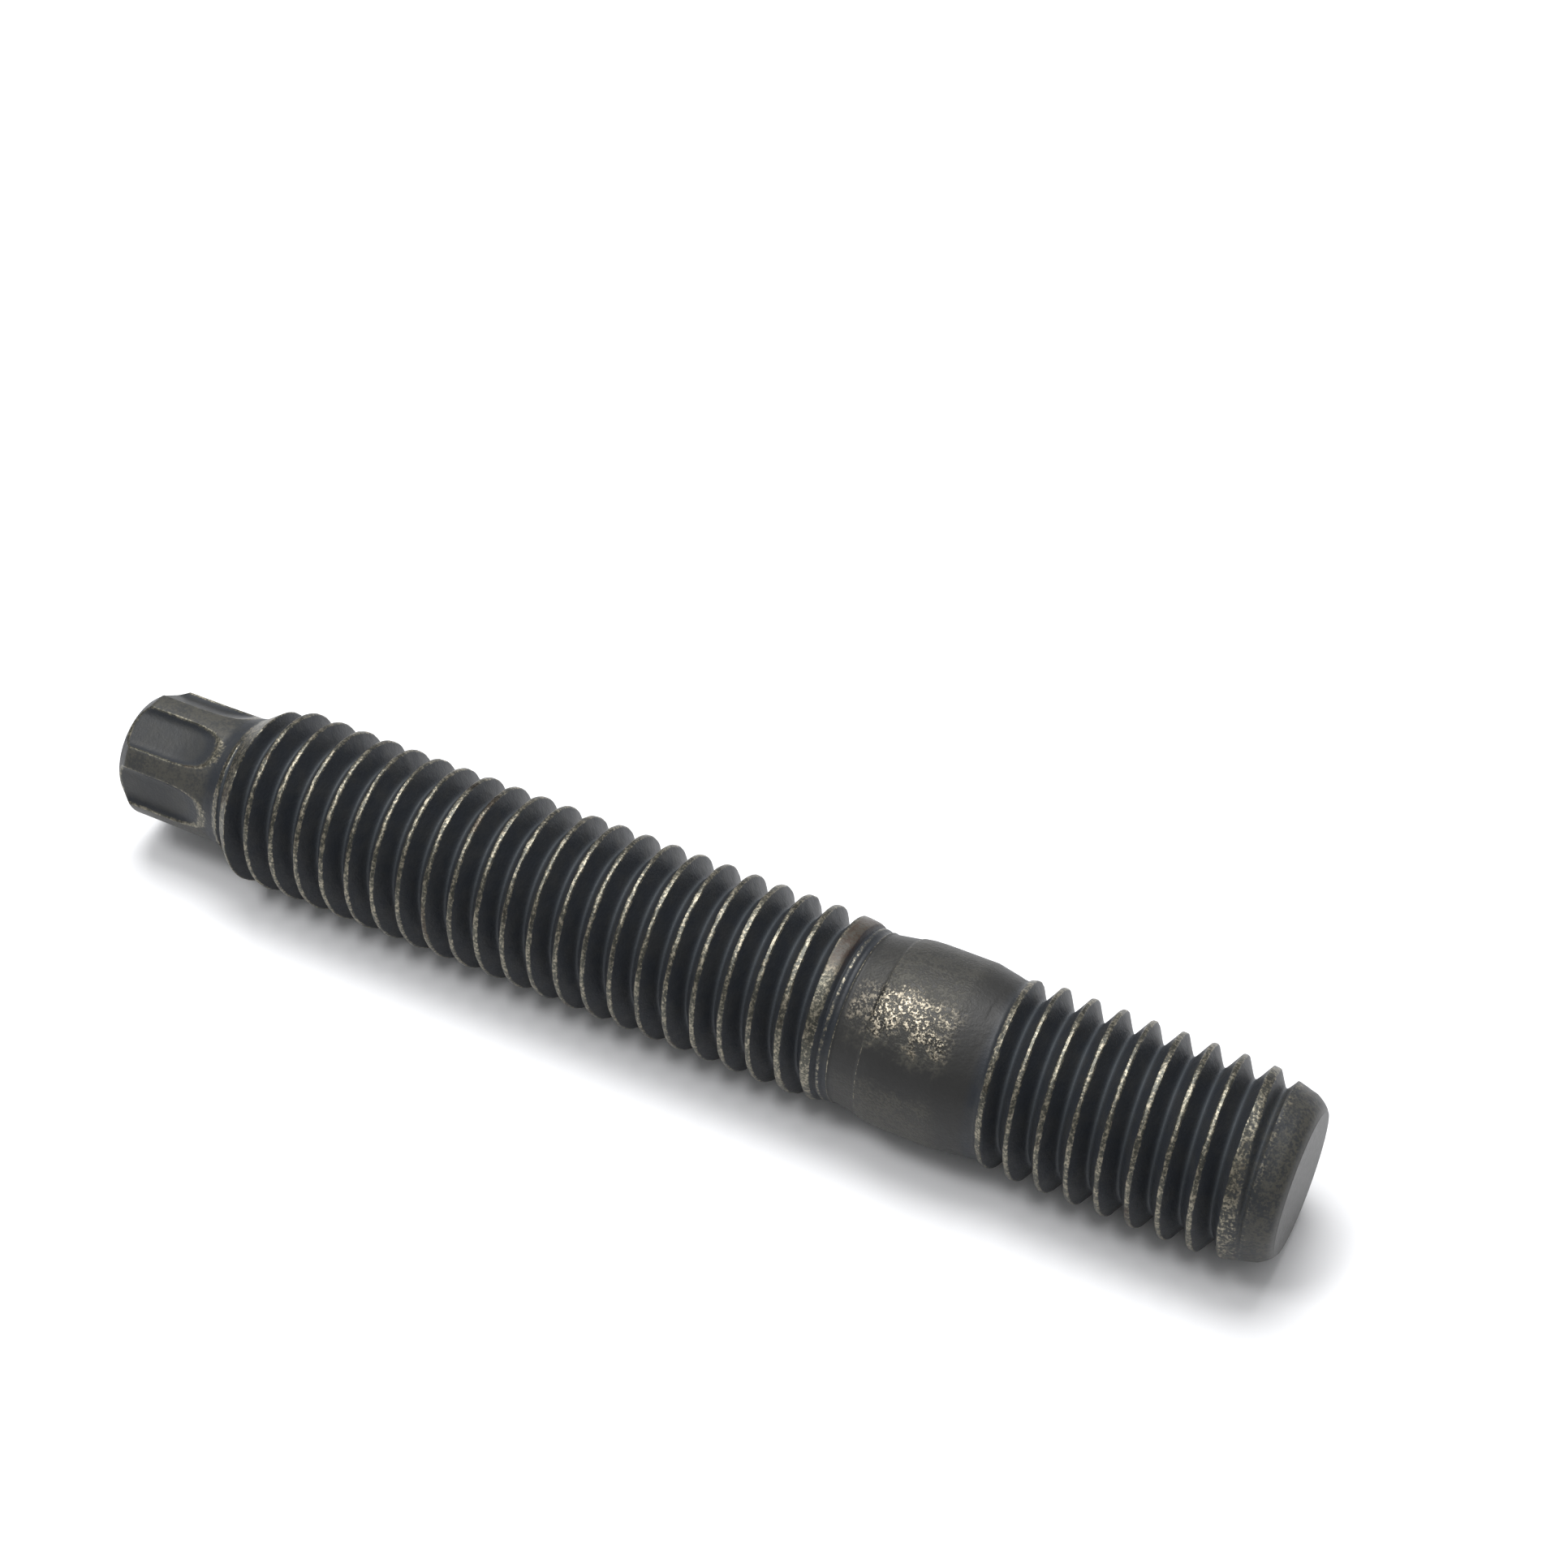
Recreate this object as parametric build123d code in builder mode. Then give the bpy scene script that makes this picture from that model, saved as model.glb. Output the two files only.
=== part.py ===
import os

from build123d import *

# Double ended stud, standing on its flat end: short thread, plain collar, long thread, and on top
# an external six-lobe drive.

# both threads, as plain cylinders over their crests
thread_diameter = 7.8
blank_diameter = 7.1  # plain steel that both threads were rolled into

# flat end: a gentle curve in from the short thread, then a cone to the face
end_taper_drop = 1.0
end_taper_length = 2.4
end_face_drop = 1.9
end_chamfer_length = 0.55

# short thread
short_thread_length = 8.6
short_runout_length = 1.28

# collar: a short cone rises to it from the short thread, a gentle curve and a cone fall from it
collar_diameter = 7.8
collar_length = 2.25
collar_rise_length = 1.05
collar_groove_drop = 0.56
groove_length = 0.12
collar_curve_length = 0.9
collar_crease_drop = 0.24
collar_cone_length = 0.95

# long thread, which runs out into the blank beside the collar
blank_length = 0.15
long_runout_length = 2.2
long_thread_length = 26.15

# cone that leads a nut onto the long thread's crests, then the neck under the drive
lead_in_length = 1.25
neck_diameter = 6
neck_length = 0.6

# external six-lobe drive
lobe_count = 6
first_lobe_angle = 6
drive_diameter = 5.74
drive_length = 4.7
drive_face_diameter = 4.7
drive_chamfer_length = 0.6
flute_width = 2.27
flute_depth = 0.42
flute_corner_radius = 0.6
flute_length = 2.4
flute_lift_radius = 6

# heights of the changes of section above the flat end's face
taper_start = end_chamfer_length
short_start = taper_start + end_taper_length
short_end = short_start + short_thread_length
groove_start = short_end + short_runout_length
groove_end = groove_start + groove_length
collar_start = groove_end + collar_rise_length
collar_end = collar_start + collar_length
crease_height = collar_end + collar_curve_length
blank_start = crease_height + collar_cone_length
blank_end = blank_start + blank_length
long_start = blank_end + long_runout_length
long_end = long_start + long_thread_length
lead_in_end = long_end + lead_in_length
neck_end = lead_in_end + neck_length
stud_length = neck_end + drive_length

# radii of the changes of section
end_face_radius = (thread_diameter - end_face_drop) / 2
taper_radius = (thread_diameter - end_taper_drop) / 2
groove_radius = (collar_diameter - collar_groove_drop) / 2
crease_radius = (collar_diameter - collar_crease_drop) / 2

# cutter for one flute of the drive, flat on its floor and rounded in its corners: lifted out above
# the neck, then straight through the face
flute_floor = drive_diameter / 2 - flute_depth
flute_cutter_height = 4 * flute_corner_radius
flute_start = stud_length - flute_length
with BuildLine(Plane.XZ) as flute_path:
    flute_run = Line((flute_floor, stud_length + flute_corner_radius), (flute_floor, flute_start))
    RadiusArc(
        flute_run @ 1,
        (flute_floor + flute_lift_radius, flute_start - flute_lift_radius),
        -flute_lift_radius,
    )
with BuildPart() as flute:
    with BuildSketch(Plane.XY.offset(stud_length + flute_corner_radius)):
        with Locations((flute_floor + flute_cutter_height / 2, 0)):
            RectangleRounded(flute_cutter_height, flute_width, flute_corner_radius)
    sweep(path=flute_path.line)

with BuildPart() as stud:
    # turned and rolled outline
    with BuildSketch(Plane.XZ):
        with BuildLine():
            Polyline(
                (drive_face_diameter / 2, stud_length),
                (0, stud_length),
                (0, 0),
                (end_face_radius, 0),
                (taper_radius, taper_start),
            )
            # the curve starts flush with the thread's crests
            TangentArc(
                (thread_diameter / 2, short_start),
                (taper_radius, taper_start),
                tangent=(0, -1),
            )
            Polyline(
                (thread_diameter / 2, short_start),
                (thread_diameter / 2, short_end),
                (groove_radius, groove_start),
                (groove_radius, groove_end),
                (collar_diameter / 2, collar_start),
                (collar_diameter / 2, collar_end),
            )
            # the curve starts flush with the collar
            TangentArc(
                (collar_diameter / 2, collar_end),
                (crease_radius, crease_height),
                tangent=(0, 1),
            )
            Polyline(
                (crease_radius, crease_height),
                (blank_diameter / 2, blank_start),
                (blank_diameter / 2, blank_end),
                (thread_diameter / 2, long_start),
                (thread_diameter / 2, long_end),
                (neck_diameter / 2, lead_in_end),
                (drive_diameter / 2, neck_end),
                (drive_diameter / 2, stud_length - drive_chamfer_length),
                (drive_face_diameter / 2, stud_length),
            )
        make_face()
    revolve(axis=Axis.Z)
    # flutes between the lobes of the drive
    with PolarLocations(0, lobe_count, start_angle=first_lobe_angle + 180 / lobe_count):
        add(flute.part, mode=Mode.SUBTRACT)
stud.part.label = "stud"
os.makedirs("parts", exist_ok=True)
export_step(stud.part, "parts/stud.step")
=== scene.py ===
import math

import bmesh
import bpy
from mathutils import Matrix, Vector, noise


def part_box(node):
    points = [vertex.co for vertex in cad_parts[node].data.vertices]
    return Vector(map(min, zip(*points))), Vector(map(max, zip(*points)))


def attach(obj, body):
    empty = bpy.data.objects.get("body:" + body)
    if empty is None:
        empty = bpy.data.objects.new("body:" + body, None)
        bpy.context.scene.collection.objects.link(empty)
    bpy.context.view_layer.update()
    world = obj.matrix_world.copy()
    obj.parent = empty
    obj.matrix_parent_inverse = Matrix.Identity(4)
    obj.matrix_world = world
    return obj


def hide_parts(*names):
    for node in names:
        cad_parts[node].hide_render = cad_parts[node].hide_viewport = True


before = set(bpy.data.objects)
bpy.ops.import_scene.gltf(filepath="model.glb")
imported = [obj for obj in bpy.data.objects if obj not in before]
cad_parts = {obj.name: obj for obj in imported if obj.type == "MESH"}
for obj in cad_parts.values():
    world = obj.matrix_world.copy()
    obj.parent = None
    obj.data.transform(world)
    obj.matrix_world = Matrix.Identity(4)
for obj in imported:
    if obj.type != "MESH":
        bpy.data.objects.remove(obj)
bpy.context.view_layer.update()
studLow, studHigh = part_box("stud")
mm = 0.001
studLength = (studHigh.z - studLow.z) / mm
crestRadius = (studHigh.x - studLow.x) / 2 / mm
print("frame loaded,", len(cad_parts), "CAD node, stud", round(studLength, 2), "mm long")

# Shape of the stud, in mm above the flat end that it stands on: an outline carried around the axis,
# two threads wound as real helices, and a drive.


# value at x on straight lines through pairs of place and value
def between(pairs, x):
    if x <= pairs[0][0]:
        return pairs[0][1]
    for (x0, y0), (x1, y1) in zip(pairs, pairs[1:]):
        if x <= x1:
            return y0 + (y1 - y0) * (x - x0) / (x1 - x0)
    return pairs[-1][1]


# the smaller of two radii, rounded where they meet
def softMin(a, b, k):
    h = max(k - abs(a - b), 0) / k
    return min(a, b) - h * h * k / 4


outline = {
    # pairs of height and radius over the crests
    "places": (
        # flat end and its taper
        (0, 2.9),
        (0.08, 3.04),
        (0.25, 3.2),
        (0.55, 3.4),
        (1.15, 3.57),
        (2.25, 3.85),
        (2.95, 3.9),
        # end of the short thread and foot of the collar
        (11.45, 3.9),
        (11.9, 3.81),
        (12.12, 3.75),
        (12.23, 3.65),
        (12.36, 3.64),
        # collar, crease and cone
        (14.0, 3.9),
        (16.25, 3.9),
        (16.7, 3.875),
        (17.12, 3.81),
        (17.18, 3.76),
        (18.32, 3.57),
        # small ridges beside the long thread
        (18.4, 3.63),
        (18.47, 3.56),
        (18.62, 3.56),
        (18.7, 3.63),
        (18.84, 3.65),
        (18.92, 3.58),
        (18.98, 3.6),
        # long thread
        (19.08, 3.74),
        (19.25, 3.8),
        (20.45, 3.9),
        (46.6, 3.9),
        # neck and drive
        (47.85, 3.0),
        (48.45, 2.87),
        (52.55, 2.87),
        (53.15, 2.35),
    ),
    # the crease and the small ridges are rubbed bright
    "worn": (
        (17.02, 0),
        (17.1, 0.7),
        (17.16, 0),
        (18.35, 0),
        (18.4, 1),
        (18.45, 0),
        (18.66, 0),
        (18.72, 0.7),
        (18.84, 0.7),
        (18.9, 0),
    ),
    # the foot of the collar winds like the short thread: the bearing where it stands at the heights
    # above, and pairs of height and how fully it winds there
    "footBearing": math.radians(-42),
    "footShare": ((10.9, 0), (11.7, 1), (12.6, 1), (14.0, 0)),
    # corners are averaged over this much height on either side
    "softness": 0.03,
    # heights between entries of the outline's table, and between the collar's rings
    "step": 0.01,
    "ringStep": 0.05,
    # heights of the rings below the short thread
    "endRings": (0.45, 0.35, 0.27, 0.2, 0.14, 0.09, 0.05, 0.02, 0),
    # both end faces: each ring's size as a share of the ring before it
    "faceShrinks": (0.97, 0.9, 0.75, 0.6, 0.5),
    "sharpAngle": math.radians(35),
}


def softOutline(height):
    samples = (-1, -0.5, 0, 0.5, 1)
    heights = [height + s * outline["softness"] for s in samples]
    return sum(between(outline["places"], h) for h in heights) / len(samples)


outlineTable = [softOutline(i * outline["step"]) for i in range(int(studLength / outline["step"]) + 2)]


def outlineRadius(height):
    spot = max(height, 0) / outline["step"]
    i = min(int(spot), len(outlineTable) - 2)
    return outlineTable[i] + (outlineTable[i + 1] - outlineTable[i]) * (spot - i)


# radius over the crests with the collar's foot wound like the thread, and the height it stands for
def outlineAt(height, angle):
    share = ((angle - outline["footBearing"]) / (2 * math.pi) + 0.5) % 1 - 0.5
    # past a quarter turn it winds back, so that it closes on the far side
    if abs(share) > 0.25:
        share = math.copysign(0.5 - abs(share), share)
    base = height - thread["pitch"] * share * between(outline["footShare"], height)
    return outlineRadius(base), base


# rolled thread, the same for both lengths
thread = {
    "pitch": 1.25,
    "rootRadius": 3.115,
    "rootRound": 0.09,
    "crestFlat": 0.16,
    "stepsPerTurn": 92,
    # points of one groove's flank, as distances from its middle
    "flankSteps": (0, 0.045, 0.09, 0.16, 0.24, 0.32, 0.4, 0.46, 0.5, 0.53, 0.57),
    # rounding between a flank and its crest
    "edgeSoftness": 0.03,
    # the crests are worn down in places: how deep, and the size and seed of the places
    "crestWear": 0.035,
    "wearSize": 0.45,
    "wearSeed": 8.7,
    # the flanks wander, but not the roots: how far, how fast that grows, and its size and seed
    "edgeWander": 0.03,
    "wanderGrowth": 3,
    "wanderSize": 0.7,
    "wanderSeed": 3.1,
    # a flank is rubbed bright down to this depth, and a root line is this wide on either side
    "rubbedDepth": 0.12,
    "rootLineWidth": 0.13,
}
# phase is a height where the middle of a groove crosses the +X side; depths are pairs of the
# groove's height and the share of the thread's full form that it has there; and worn pairs tell
# where the crests are rubbed bright
longThread = {
    "low": 19.05,
    "high": 47.8,
    "phase": 0.176,
    "depths": ((19.15, 0), (19.75, 0.8), (20.4, 1)),
    "worn": ((19.04, 0), (19.12, 1)),
}
shortThread = {
    "low": 0.55,
    "high": 12.95,
    "phase": 0.299,
    "depths": ((0.6, 0), (1.85, 1), (11.7, 1), (12.45, 0)),
    "worn": ((0.6, 0), (1.1, 0.55), (2.0, 0.75), (2.9, 1), (12.0, 1), (12.1, 0.75), (12.18, 0)),
}


# radius of a groove's flank at a distance from the middle of the groove
def flankRadius(away):
    edge = (thread["pitch"] - thread["crestFlat"]) / 2
    soft = thread["rootRound"]
    rise = crestRadius - thread["rootRadius"]
    share = (math.hypot(away, soft) - soft) / (math.hypot(edge, soft) - soft)
    return thread["rootRadius"] + rise * share


# smooth noise over the stud's surface, about -1 to 1
def wander(height, angle, size, seed):
    r = crestRadius / size
    return noise.noise(Vector((r * math.cos(angle), r * math.sin(angle), height / size + seed)))


# radius, crest share and root share of a point on a thread
def threadPoint(height, angle, spec):
    pitch = thread["pitch"]
    climb = angle / (2 * math.pi) * pitch
    away = (height - spec["phase"] - climb + pitch / 2) % pitch - pitch / 2
    depth = between(spec["depths"], height - away)
    edge = thread["edgeWander"] * wander(height, angle, thread["wanderSize"], thread["wanderSeed"])
    lift = (1 - depth) * (crestRadius - thread["rootRadius"])
    flank = flankRadius(abs(away) + edge * min(abs(away) * thread["wanderGrowth"], 1)) + lift
    top, base = outlineAt(height, angle)
    top -= thread["crestWear"] * max(0, wander(height, angle, thread["wearSize"], thread["wearSeed"]))
    crest = max(0, min(1, 1 - (top - flank) / thread["rubbedDepth"])) * between(spec["worn"], base)
    root = max(0, 1 - abs(away) / thread["rootLineWidth"]) * depth
    return softMin(flank, top, thread["edgeSoftness"]), crest, root


drive = {
    "lobeCount": 6,
    "firstLobeAngle": math.radians(6),
    "lobeHalfAngle": math.radians(9.4),
    # columns of faces across a lobe, as shares of its half angle, and across a flute
    "lobeColumns": (-1, -0.9, -0.75, -0.4, 0, 0.4, 0.75, 0.9),
    "fluteColumns": 26,
    # radius of a flute's flat floor, half the flute's width and the radius of its corners
    "fluteFloor": 2.45,
    "fluteHalfWidth": 1.135,
    "fluteCorner": 0.6,
    "cornerTries": 6,
    # a flute runs straight this far down, then lifts out on this radius
    "fluteLength": 2.4,
    "liftRadius": 6,
    # rounding between a lobe and its flutes
    "edgeSoftness": 0.05,
    # a lobe's edge is rubbed bright down to this depth
    "rubbedDepth": 0.2,
    # heights between the drive's rings, and of its lowest ring
    "ringStep": 0.1,
    "joinsAt": 47.95,
}


# radius and edge share of a point on the drive: the outline less its flutes with flat floors
def drivePoint(height, angle):
    sector = 2 * math.pi / drive["lobeCount"]
    off = abs((angle - drive["firstLobeAngle"]) % sector - sector / 2)
    lift = drive["liftRadius"]
    past = min(max(studLength - drive["fluteLength"] - height, 0), lift)
    floor = drive["fluteFloor"] + lift - math.sqrt(lift**2 - past**2)
    top = outlineRadius(height)
    corner = drive["fluteCorner"]
    cornerFrom = drive["fluteHalfWidth"] - corner
    across = top * math.sin(off)
    # each try comes closer to where the ray at this angle meets the rounded corner
    for _ in range(drive["cornerTries"]):
        into = min(max(across - cornerFrom, 0), corner)
        flute = (floor + corner - math.sqrt(corner**2 - into**2)) / math.cos(off)
        across = (across + min(flute, top) * math.sin(off)) / 2
    edge = max(0, 1 - abs(top - flute) / drive["rubbedDepth"])
    return softMin(top, flute, drive["edgeSoftness"]), edge


def putVert(vert, height, radius, angle):
    vert.co = (radius * math.cos(angle), radius * math.sin(angle), height)


def angleOf(vert):
    return math.atan2(vert.co.y, vert.co.x)


def vertsIn(geom):
    return [v for v in geom if isinstance(v, bmesh.types.BMVert)]


def edgesIn(geom):
    return [e for e in geom if isinstance(e, bmesh.types.BMEdge)]


# the open edges that lie at a height
def ringAt(bm, height, near=1e-4):
    openEdges = [e for e in bm.edges if len(e.link_faces) < 2]
    return [e for e in openEdges if all(abs(v.co.z - height) < near for v in e.verts)]


# one more ring of faces on an open end, and the ring's new edges
def extrudeRing(bm, edges, height, radiusAt):
    made = bmesh.ops.extrude_edge_only(bm, edges=edges)["geom"]
    for v in vertsIn(made):
        angle = angleOf(v)
        putVert(v, height, radiusAt(height, angle), angle)
    return edgesIn(made)


# flat end face: rings shrunk towards the middle, then one point
def closeEnd(bm, edges, height):
    for shrink in outline["faceShrinks"]:
        made = bmesh.ops.extrude_edge_only(bm, edges=edges)["geom"]
        bmesh.ops.scale(bm, vec=(shrink, shrink, 1), verts=vertsIn(made))
        edges = edgesIn(made)
    made = bmesh.ops.extrude_edge_only(bm, edges=edges)["geom"]
    bmesh.ops.pointmerge(bm, verts=vertsIn(made), merge_co=(0, 0, height))


# one turn of thread, spun from one pitch of it
def turnOfThread(first):
    bm = bmesh.new()
    pitch = thread["pitch"]
    steps = thread["stepsPerTurn"]
    flank = thread["flankSteps"]
    places = [-pitch / 2] + [-s for s in reversed(flank[1:])] + list(flank) + [pitch / 2]
    chain = [bm.verts.new((flankRadius(abs(s)), 0, first + s)) for s in places]
    edges = [bm.edges.new(pair) for pair in zip(chain, chain[1:])]
    bmesh.ops.spin(
        bm,
        geom=chain + edges,
        cent=(0, 0, 0),
        axis=(0, 0, 1),
        dvec=(0, 0, pitch / steps),
        angle=2 * math.pi,
        steps=steps,
        use_merge=False,
        use_duplicate=False,
    )
    mesh = bpy.data.meshes.new("one turn")
    bm.to_mesh(mesh)
    bm.free()
    return mesh


# turns of thread stacked up the stud, trimmed level at both ends, then given their true radii
def threadShell(spec):
    pitch = thread["pitch"]
    first = spec["phase"] + pitch * (math.floor((spec["low"] - spec["phase"]) / pitch) - 2)
    turns = math.ceil((spec["high"] - first) / pitch) + 1
    oneTurn = turnOfThread(first)
    bm = bmesh.new()
    for i in range(turns):
        before = len(bm.verts)
        bm.from_mesh(oneTurn)
        bm.verts.ensure_lookup_table()
        bmesh.ops.translate(bm, vec=(0, 0, pitch * i), verts=bm.verts[before:])
    bpy.data.meshes.remove(oneTurn)
    bmesh.ops.remove_doubles(bm, verts=bm.verts, dist=0.01)
    for height, side in ((spec["low"], -1), (spec["high"], 1)):
        geom = bm.verts[:] + bm.edges[:] + bm.faces[:]
        bmesh.ops.bisect_plane(
            bm, geom=geom, dist=1e-5, plane_co=(0, 0, height), plane_no=(0, 0, side), clear_outer=True
        )
    crestLayer = bm.verts.layers.float.new("crest")
    rootLayer = bm.verts.layers.float.new("root")
    for v in bm.verts:
        angle = angleOf(v)
        radius, v[crestLayer], v[rootLayer] = threadPoint(v.co.z, angle, spec)
        putVert(v, v.co.z, radius, angle)
    shell = bpy.data.meshes.new("shell")
    bm.to_mesh(shell)
    bm.free()
    return shell


def addThreads(bm):
    for spec in (longThread, shortThread):
        shell = threadShell(spec)
        bm.from_mesh(shell)
        bpy.data.meshes.remove(shell)
    print("threads wound,", len(bm.faces), "faces")


# collar between the threads
def addCollar(bm):
    low, high = shortThread["high"], longThread["low"]
    edges = ringAt(bm, low)
    count = round((high - low) / outline["ringStep"])
    for i in range(1, count):
        height = low + (high - low) * i / count
        edges = extrudeRing(bm, edges, height, lambda h, a: outlineAt(h, a)[0])
    bmesh.ops.bridge_loops(bm, edges=edges + ringAt(bm, high))
    print("collar joined")


# the drive's lowest ring, with a column on each edge of each flute
def driveRing(bm):
    half = drive["lobeHalfAngle"]
    sector = 2 * math.pi / drive["lobeCount"]
    count = drive["fluteColumns"]
    offsets = [half * s for s in drive["lobeColumns"]]
    for i in range(count):
        even = i / count
        crowded = 0.5 - 0.5 * math.cos(math.pi * even)  # closer together at the flute's edges
        offsets.append(half + (sector - 2 * half) * (crowded + even) / 2)
    made = bmesh.ops.create_circle(bm, cap_ends=False, segments=len(offsets) * drive["lobeCount"], radius=1)
    for i, v in enumerate(sorted(made["verts"], key=lambda v: angleOf(v) % (2 * math.pi))):
        lobe, column = divmod(i, len(offsets))
        angle = drive["firstLobeAngle"] + lobe * sector + offsets[column]
        putVert(v, drive["joinsAt"], outlineRadius(drive["joinsAt"]), angle)
    return list({e for v in made["verts"] for e in v.link_edges})


# drive, from the neck up to its end face
def addDrive(bm):
    edges = driveRing(bm)
    bmesh.ops.bridge_loops(bm, edges=edges + ringAt(bm, longThread["high"]))
    low = drive["joinsAt"]
    count = round((studLength - low) / drive["ringStep"])
    for i in range(1, count + 1):
        height = low + (studLength - low) * i / count
        edges = extrudeRing(bm, edges, height, lambda h, a: drivePoint(h, a)[0])
    closeEnd(bm, edges, studLength)
    print("drive joined")


def addFlatEnd(bm):
    edges = ringAt(bm, shortThread["low"])
    for height in outline["endRings"]:
        edges = extrudeRing(bm, edges, height, lambda h, a: outlineRadius(h))
    closeEnd(bm, edges, 0)
    print("flat end closed")


def makeStud():
    bm = bmesh.new()
    addThreads(bm)
    threadVerts = set(bm.verts)
    addCollar(bm)
    addDrive(bm)
    addFlatEnd(bm)
    crestLayer = bm.verts.layers.float["crest"]
    rootLayer = bm.verts.layers.float["root"]
    for v in bm.verts:
        if v not in threadVerts:
            v[rootLayer] = 0
            if v.co.z > drive["joinsAt"] + drive["ringStep"]:
                v[crestLayer] = drivePoint(v.co.z, angleOf(v))[1]
            else:
                v[crestLayer] = between(outline["worn"], v.co.z)
    bmesh.ops.recalc_face_normals(bm, faces=bm.faces)
    bmesh.ops.triangulate(bm, faces=[f for f in bm.faces if len(f.verts) > 4])
    bmesh.ops.scale(bm, vec=(mm, mm, mm), verts=bm.verts)
    mesh = bpy.data.meshes.new("blackStud")
    bm.to_mesh(mesh)
    openEdges = sum(1 for e in bm.edges if not e.is_manifold)
    bm.free()
    mesh.shade_smooth()
    mesh.set_sharp_from_angle(angle=outline["sharpAngle"])
    piece = bpy.data.objects.new("blackStud", mesh)
    bpy.context.scene.collection.objects.link(piece)
    print("stud made,", len(mesh.polygons), "faces,", openEdges, "open edges")
    return piece


stud = makeStud()
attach(stud, "root")
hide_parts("stud")

# Black steel: oily and dark in the grooves, rubbed bright on the crests, scuffed on the collar, with a
# painted highlight and a painted dark reflection band on the collar's near side.

blackSteel = {
    "dark": (0.021, 0.024, 0.029),
    "grey": (0.033, 0.034, 0.034),
    # the collar's colour where it is not scuffed; in the dark band it is painted dark reflection
    "smoothAndDarkReflection": (0.026, 0.026, 0.0255),
    "olive": (0.058, 0.056, 0.048),
    "crest": (0.115, 0.112, 0.09),
    # gold is the worn steel's own tint, and also paints the collar's highlight
    "goldWearAndHighlight": (0.5, 0.44, 0.34),
    "rust": (0.024, 0.013, 0.010),
    "rootLine": (0.05, 0.057, 0.064),
    "endFace": (0.085, 0.085, 0.083),
    "specular": 0.25,
    # metallic share of dark steel and of bare steel, and how bare the scuffs and the end cone are
    "metallic": (0.1, 0.9),
    "bareShares": {"scuffs": 0.3, "endCone": 0.2},
    # roughness, how much the grain changes it, and what the painted highlight patches and the worn steel
    # lose of it
    "roughness": 0.47,
    "roughGrain": 0.14,
    "highlightPolish": 0.15,
    "wornPolish": 0.06,
    # bump's strength and its depth in mm, and the noises' shares in it; the fine one stands out on the
    # scuffs and is weaker on the painted highlight patches
    "bumpStrength": 0.6,
    "bumpDepth": 0.05,
    "bumpShares": {"grain": 0.5, "fine": 0.4, "patch": 0.4, "fineOnScuffs": 0.6, "fineOffBright": 0.3},
    # roughness of all the noises, then the scale per metre and the detail of each
    "noiseRoughness": 0.6,
    "noises": {
        "fine": (9000.0, 3.0),
        "grain": (3500.0, 3.0),
        "patch": (1100.0, 3.0),
        "broad": (350.0, 2.0),
    },
    # shares of the noises in each pattern, and where the pattern fades in
    "patterns": {
        "greyPatches": ({"patch": 1}, (0.35, 0.7)),
        "mottle": ({"fine": 0.5, "grain": 0.3, "patch": 0.2}, (0.44, 0.56)),
        "sparkle": ({"fine": 0.65, "grain": 0.35}, (0.47, 0.62)),
        "rustSpots": ({"broad": 0.6, "patch": 0.4}, (0.58, 0.66)),
        # patches of the painted highlight on the collar
        "brightPatches": ({"broad": 0.5, "patch": 0.5}, (0.38, 0.52)),
    },
    # rubbed steel: shares of the crest, the grain and the fine noise, and where that counts as worn
    "wornShares": (1.2, 0.5, 0.7),
    "wornFrom": (0.6, 1.05),
    # heights, radii in mm and bearings in degrees from +X; a second pair is where a finish fades out
    "endFaceHeights": (0.03, 0.25),
    "endConeHeights": (0.4, 2.4),
    "collarHeights": ((12.3, 12.8), (18.3, 18.5)),
    "scuffHeights": ((13.3, 14.4), (18.0, 18.3)),
    "creaseHeights": (17.05, 17.2),
    "lastCrestHeights": ((18.95, 19.1), (19.6, 19.75)),
    "driveHeights": (48.2, 48.8),
    "lobeRadii": (2.74, 2.86),
    "wallRadii": ((2.58, 2.68), (2.74, 2.82)),
    # the dark band is painted dark reflection, put at the bearings below the highlight as the camera sees it
    "smoothBearings": ((-82, -72), (-58, -46)),
    # the bright band is a painted highlight, put at the bearings where the top lamp's reflection falls as
    # the camera sees it
    "brightBearings": ((-46, -36), (-26, -10)),
    "farBearings": (-20, 25),
    "lastCrestBearings": (-30, -5),
    # degrees that the collar's bearings wander with the patches and with the grain
    "bearingWander": (36, 24),
    # what a scuff loses past the crease and on the far side
    "creaseLoss": 0.6,
    "farLoss": 0.45,
    # how much a finish covers: evenly, and more where it is mottled
    "scuffCover": (0.25, 0.75),
    "lobeCover": (0.15, 0.5),
    "endConeCover": (0.2, 0.8),
    "crestCover": (0.5, 0.5),
    "lastCrestCover": (0.35, 0.55),
    # how much a finish covers that isn't mottled
    "greyCover": 0.6,
    "rootLineCover": 0.8,
    "driveCover": 0.25,
    "wallCover": 0.7,
    "rustCover": 0.6,
    # gold on the worn steel, what it loses on the drive, and gold painted as a highlight on the collar's
    # bright band
    "wornGold": 0.4,
    "driveGoldLoss": 0.15,
    "highlightGold": 0.85,
}


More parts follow.
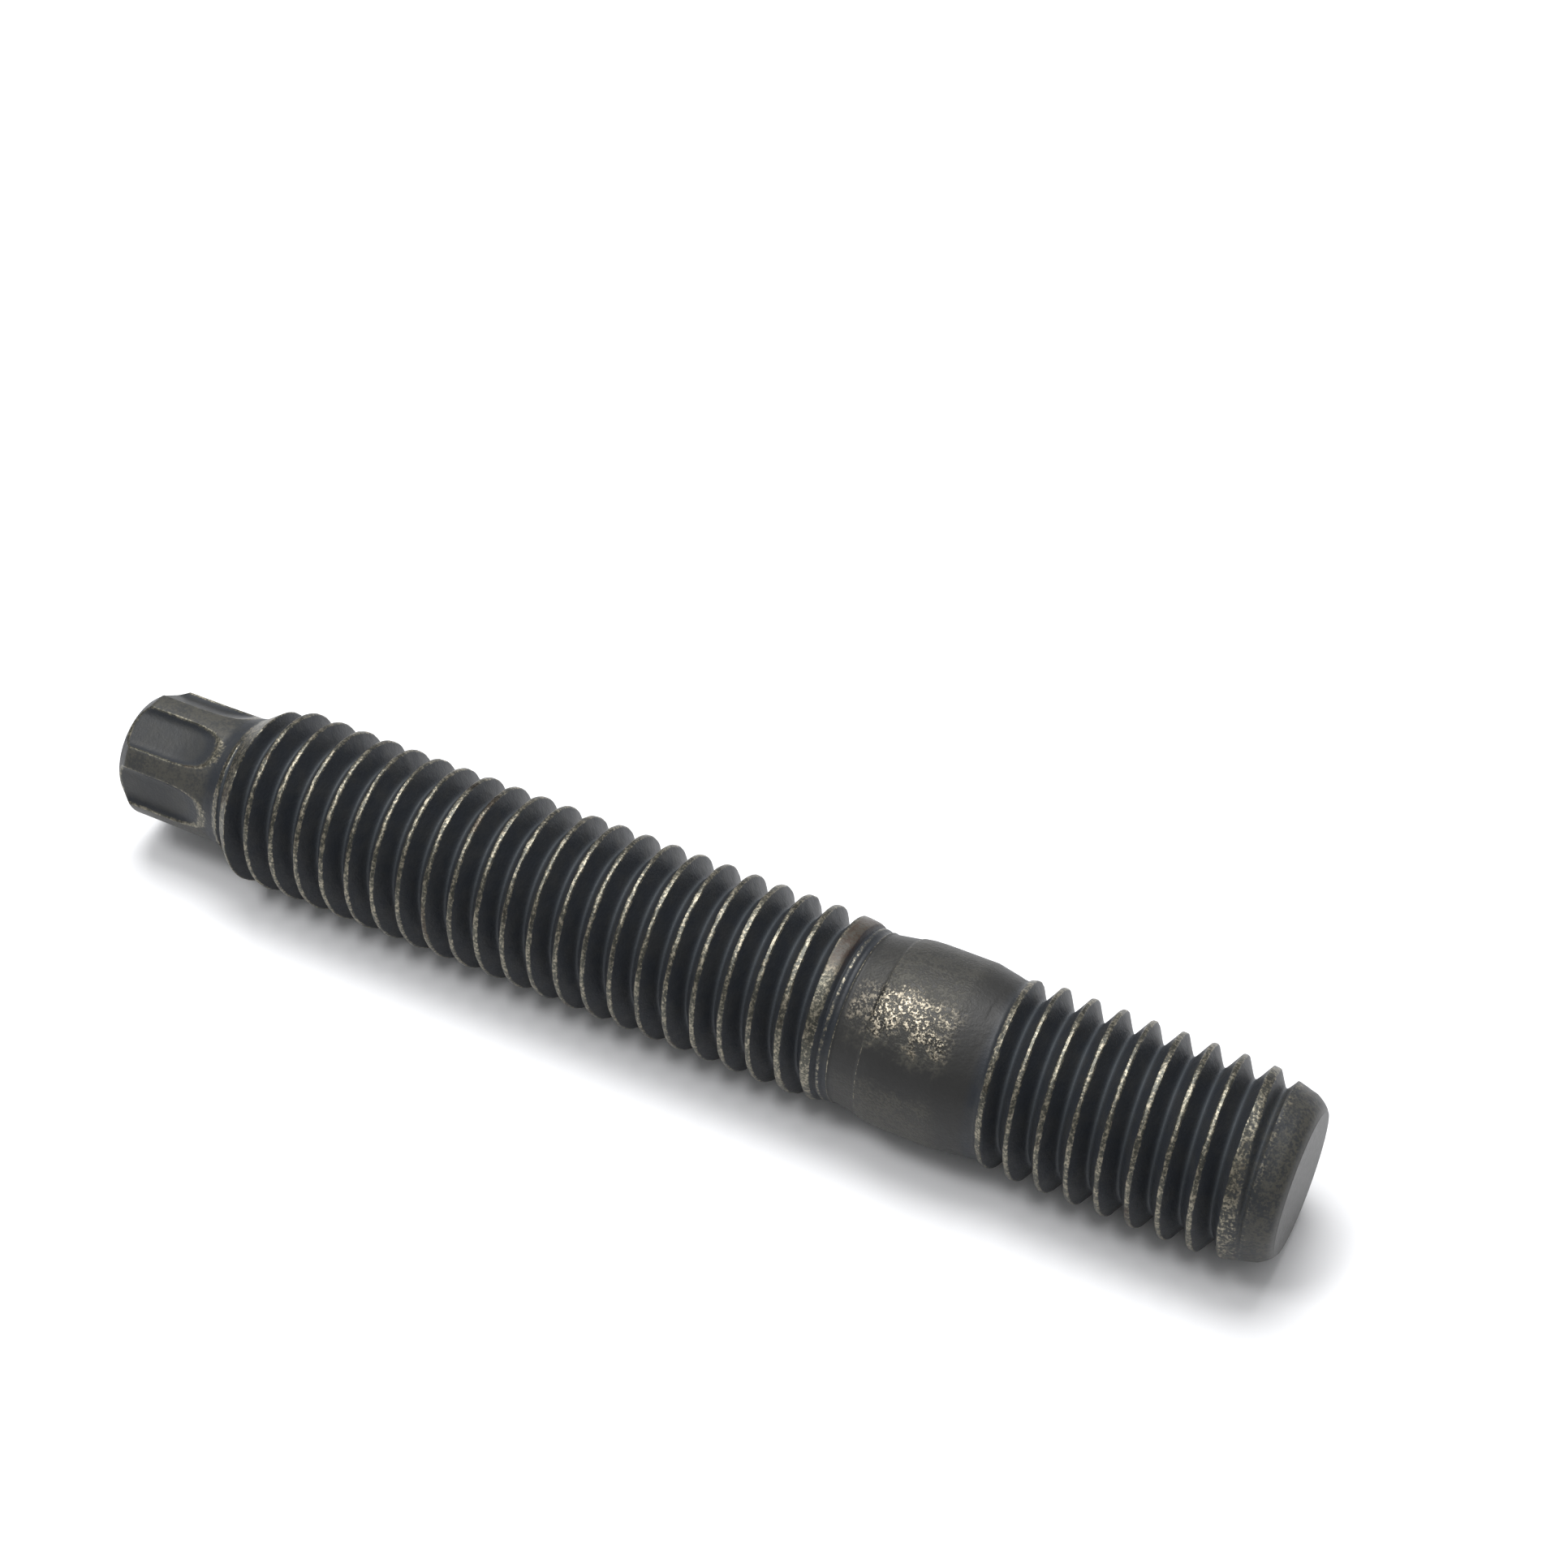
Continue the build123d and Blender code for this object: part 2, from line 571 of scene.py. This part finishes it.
# a node's output that can be added, subtracted and multiplied like a number
class Socket:
    def __init__(self, tree, socket):
        self.tree, self.socket = tree, socket

    def maths(self, operation, *values):
        given = {f"in{i}": v for i, v in enumerate(values)}
        return makeNode(self.tree, "ShaderNodeMath", {"operation": operation}, **given)[0]

    def __add__(self, other):
        return self.maths("ADD", self, other)

    __radd__ = __add__

    def __sub__(self, other):
        return self.maths("SUBTRACT", self, other)

    def __rsub__(self, other):
        return self.maths("SUBTRACT", other, self)

    def __mul__(self, other):
        return self.maths("MULTIPLY", self, other)

    __rmul__ = __mul__

    # 0 at start, 1 at end, with soft ends
    def ramp(self, start, end):
        soft = {"interpolation_type": "SMOOTHSTEP"}
        return makeNode(self.tree, "ShaderNodeMapRange", soft, in0=self, in1=start, in2=end, in3=0, in4=1)[0]

    # fades in over one pair and out over another
    def inside(self, fadeIn, fadeOut):
        return self.ramp(*fadeIn) * (1 - self.ramp(*fadeOut))


# a node's outputs as sockets; inputs are in0, in1 and so on, or a socket's name
def makeNode(tree, kind, settings=None, **inputs):
    node = tree.nodes.new(kind)
    for name, value in (settings or {}).items():
        setattr(node, name, value)
    for name, value in inputs.items():
        target = node.inputs[int(name[2:])] if name[2:].isdigit() else node.inputs[name.replace("_", " ")]
        if isinstance(value, Socket):
            tree.links.new(value.socket, target)
        elif isinstance(value, tuple):
            target.default_value = (*value, 1)
        else:
            target.default_value = value
    return [Socket(tree, s) for s in node.outputs]


# for colours, a Mix node's inputs are 6 and 7 and its output is 2
def mixColour(tree, share, a, b):
    return makeNode(tree, "ShaderNodeMix", {"data_type": "RGBA"}, in0=share, in6=a, in7=b)[2]


def newMaterial(name):
    material = bpy.data.materials.new(name)
    material.use_nodes = True
    tree = material.node_tree
    tree.nodes.clear()
    return material, tree


def blackSteelMaterial():
    material, tree = newMaterial("black steel")
    steel = blackSteel
    coords = makeNode(tree, "ShaderNodeTexCoord")[3]  # object coordinates
    x, y, z = makeNode(tree, "ShaderNodeSeparateXYZ", in0=coords)
    height = z * (1 / mm)
    radius = x.maths("SQRT", x * x + y * y) * (1 / mm)
    bearing = x.maths("ARCTAN2", y, x) * math.degrees(1)
    # the shares that makeStud stored on the mesh
    crest = makeNode(tree, "ShaderNodeAttribute", {"attribute_name": "crest"})[2]
    root = makeNode(tree, "ShaderNodeAttribute", {"attribute_name": "root"})[2]

    noises = {}
    for name, (scale, detail) in steel["noises"].items():
        noises[name] = makeNode(
            tree,
            "ShaderNodeTexNoise",
            Vector=coords,
            Scale=scale,
            Detail=detail,
            Roughness=steel["noiseRoughness"],
        )[0]
    fine, grain, patch = noises["fine"], noises["grain"], noises["patch"]

    def pattern(name):
        shares, fade = steel["patterns"][name]
        return sum(noises[n] * share for n, share in shares.items()).ramp(*fade)

    mottle = pattern("mottle")

    def cover(name):
        even, mottled = steel[name]
        return even + mottled * mottle

    # collar: a band of painted dark reflection, a band of painted highlight, and scuffs on the rest
    patchWander, grainWander = steel["bearingWander"]
    uneven = bearing + (patch - 0.5) * patchWander + (grain - 0.5) * grainWander
    onCollar = height.inside(*steel["collarHeights"])
    crease = height.ramp(*steel["creaseHeights"])
    farSide = bearing.ramp(*steel["farBearings"])
    scuffed = height.inside(*steel["scuffHeights"]) * (1 - crease * steel["creaseLoss"])
    # the scuffs leave out a band of painted dark reflection, where the darker collar colour shows
    scuffs = scuffed * (1 - uneven.inside(*steel["smoothBearings"])) * cover("scuffCover")
    scuffs = scuffs * (1 - farSide * steel["farLoss"])
    # painted highlight: gold colour and bare metal at the bearings where the lamp's reflection falls
    paintedHighlight = scuffed * uneven.inside(*steel["brightBearings"]) * pattern("brightPatches")

    # flat end and drive
    endFace = 1 - height.ramp(*steel["endFaceHeights"])
    endCone = 1 - height.ramp(*steel["endConeHeights"])
    onDrive = height.ramp(*steel["driveHeights"])
    lobe = onDrive * radius.ramp(*steel["lobeRadii"])
    wall = onDrive * radius.inside(*steel["wallRadii"])

    # rubbed crests and edges, and the rusty last crest of the long thread
    crestShare, grainShare, fineShare = steel["wornShares"]
    worn = crest * crestShare + (grain - 0.5) * grainShare + (fine - 0.5) * fineShare
    worn = worn.ramp(*steel["wornFrom"])
    # gold on worn steel, plus gold painted as the collar's highlight
    goldWearAndHighlight = worn * (steel["wornGold"] - steel["driveGoldLoss"] * onDrive) + paintedHighlight * steel["highlightGold"]
    lastCrest = height.inside(*steel["lastCrestHeights"]) * bearing.ramp(*steel["lastCrestBearings"])

    # each finish covers what the ones above it leave
    finishes = (
        (root * steel["rootLineCover"], "rootLine"),
        # darker collar colour, which shows fully in the painted dark reflection band
        (onCollar, "smoothAndDarkReflection"),
        (scuffs, "olive"),
        (onDrive * steel["driveCover"] + lobe * cover("lobeCover"), "olive"),
        (wall * steel["wallCover"], "dark"),
        (endCone * cover("endConeCover"), "olive"),
        (endFace, "endFace"),
        (worn * cover("crestCover"), "crest"),
        (goldWearAndHighlight * pattern("sparkle"), "goldWearAndHighlight"),
        (worn * pattern("rustSpots") * steel["rustCover"], "rust"),
        (lastCrest * cover("lastCrestCover"), "rust"),
    )
    colour = mixColour(tree, pattern("greyPatches") * steel["greyCover"], steel["dark"], steel["grey"])
    for share, name in finishes:
        colour = mixColour(tree, share, colour, steel[name])

    darkMetal, bareMetal = steel["metallic"]
    # bare steel, plus the painted highlight band made metallic
    bareAndHighlight = worn * (1 - lastCrest) + paintedHighlight
    bareAndHighlight = bareAndHighlight + scuffs * steel["bareShares"]["scuffs"] + endCone * steel["bareShares"]["endCone"]
    metal = darkMetal + (bareMetal - darkMetal) * bareAndHighlight.ramp(0, 1)
    rough = steel["roughness"] + steel["roughGrain"] * (grain - 0.5)
    rough = rough - steel["highlightPolish"] * paintedHighlight - steel["wornPolish"] * worn
    bump = steel["bumpShares"]
    fineBump = bump["fine"] + scuffs * bump["fineOnScuffs"] - paintedHighlight * bump["fineOffBright"]
    relief = grain * bump["grain"] + fine * fineBump + patch * bump["patch"]
    normal = makeNode(
        tree,
        "ShaderNodeBump",
        Height=relief,
        Strength=steel["bumpStrength"],
        Distance=steel["bumpDepth"] * mm,
    )[0]
    shader = makeNode(
        tree,
        "ShaderNodeBsdfPrincipled",
        Base_Color=colour,
        Metallic=metal,
        Roughness=rough,
        Specular_IOR_Level=steel["specular"],
        Normal=normal,
    )[0]
    makeNode(tree, "ShaderNodeOutputMaterial", Surface=shader)
    return material


stud.data.materials.append(blackSteelMaterial())
print("black steel made")

# Studio. The part stands on its flat end, but is shown as it lies on its side. So the studio is laid
# out in mm around a lying stud, with its drive end towards -X and Z up, and then turned to the
# standing one.

studio = {
    "cameraPlace": (39.53, -69.29, 91.71),
    "cameraRight": (0.89254, 0.45097, 0.0),
    "cameraBack": (0.32165, -0.63659, 0.70092),
    "lens": 66.32,
    "sensor": 36,
    # near and far limits of the view, in metres
    "clip": (0.001, 10),
    "groundSize": 1500,
    "groundColour": (0.8, 0.805, 0.82),
    # the world's light from above and beside the lying stud, and where it changes over
    "skyAbove": 0.76,
    "skyAside": 0.07,
    "skyRise": (0.1, 0.95),
    # place, size and power of each lamp
    "lamps": {
        "top softbox": ((-112, -105, 310), 100, 0.38),
        "back softbox": ((-50, 85, 315), 200, 1.2),
    },
}
toStanding = Matrix.Translation((-crestRadius * mm, 0, studLength / 2 * mm))
toStanding = toStanding @ Matrix.Rotation(math.pi / 2, 4, "Y")


def makeCamera():
    data = bpy.data.cameras.new("camera")
    data.lens = studio["lens"]
    data.sensor_width = studio["sensor"]
    data.clip_start, data.clip_end = studio["clip"]
    camera = bpy.data.objects.new("camera", data)
    right, back = Vector(studio["cameraRight"]), Vector(studio["cameraBack"])
    up = back.cross(right)
    turn = Matrix((right, up, back)).transposed().to_4x4()
    spot = Matrix.Translation(Vector(studio["cameraPlace"]) * mm)
    camera.matrix_world = toStanding @ spot @ turn
    bpy.context.scene.collection.objects.link(camera)
    bpy.context.scene.camera = camera


# square soft lamps that point at the stud's middle
def makeLamps():
    for name, (place, size, power) in studio["lamps"].items():
        data = bpy.data.lights.new(name, "AREA")
        data.shape = "SQUARE"
        data.size = size * mm
        data.energy = power
        lamp = bpy.data.objects.new(name, data)
        spot = Vector(place)
        aim = (spot - Vector((0, 0, crestRadius))).to_track_quat("Z", "Y")
        lamp.matrix_world = toStanding @ Matrix.Translation(spot * mm) @ aim.to_matrix().to_4x4()
        bpy.context.scene.collection.objects.link(lamp)


# ground that the lying stud rests on, clear when it is seen from below
def makeGround():
    bm = bmesh.new()
    bmesh.ops.create_grid(bm, x_segments=1, y_segments=1, size=studio["groundSize"] / 2 * mm)
    mesh = bpy.data.meshes.new("ground")
    bm.to_mesh(mesh)
    bm.free()
    ground = bpy.data.objects.new("ground", mesh)
    ground.matrix_world = toStanding
    bpy.context.scene.collection.objects.link(ground)
    material, tree = newMaterial("pale ground")
    matte = makeNode(tree, "ShaderNodeBsdfDiffuse", Color=studio["groundColour"])[0]
    clear = makeNode(tree, "ShaderNodeBsdfTransparent")[0]
    below = makeNode(tree, "ShaderNodeNewGeometry")[6]  # 1 on the back of a face
    surface = makeNode(tree, "ShaderNodeMixShader", in0=below, in1=matte, in2=clear)[0]
    makeNode(tree, "ShaderNodeOutputMaterial", Surface=surface)
    mesh.materials.append(material)


# white behind the view; as light, a sky that is brighter above the lying stud, which is towards +X
def makeWorld():
    world = bpy.data.worlds.new("white studio")
    world.use_nodes = True
    tree = world.node_tree
    tree.nodes.clear()
    seen = makeNode(tree, "ShaderNodeLightPath")[0]  # 1 for what the camera sees directly
    toSky = makeNode(tree, "ShaderNodeTexCoord")[0]
    rise = makeNode(tree, "ShaderNodeSeparateXYZ", in0=toSky)[0]
    sky = studio["skyAside"] + rise.ramp(*studio["skyRise"]) * (studio["skyAbove"] - studio["skyAside"])
    strength = seen + (1 - seen) * sky
    glow = makeNode(tree, "ShaderNodeBackground", Color=(1, 1, 1), Strength=strength)[0]
    makeNode(tree, "ShaderNodeOutputWorld", Surface=glow)
    bpy.context.scene.world = world


makeCamera()
makeLamps()
makeGround()
makeWorld()
bpy.context.scene.view_settings.view_transform = "Standard"
print("studio made")
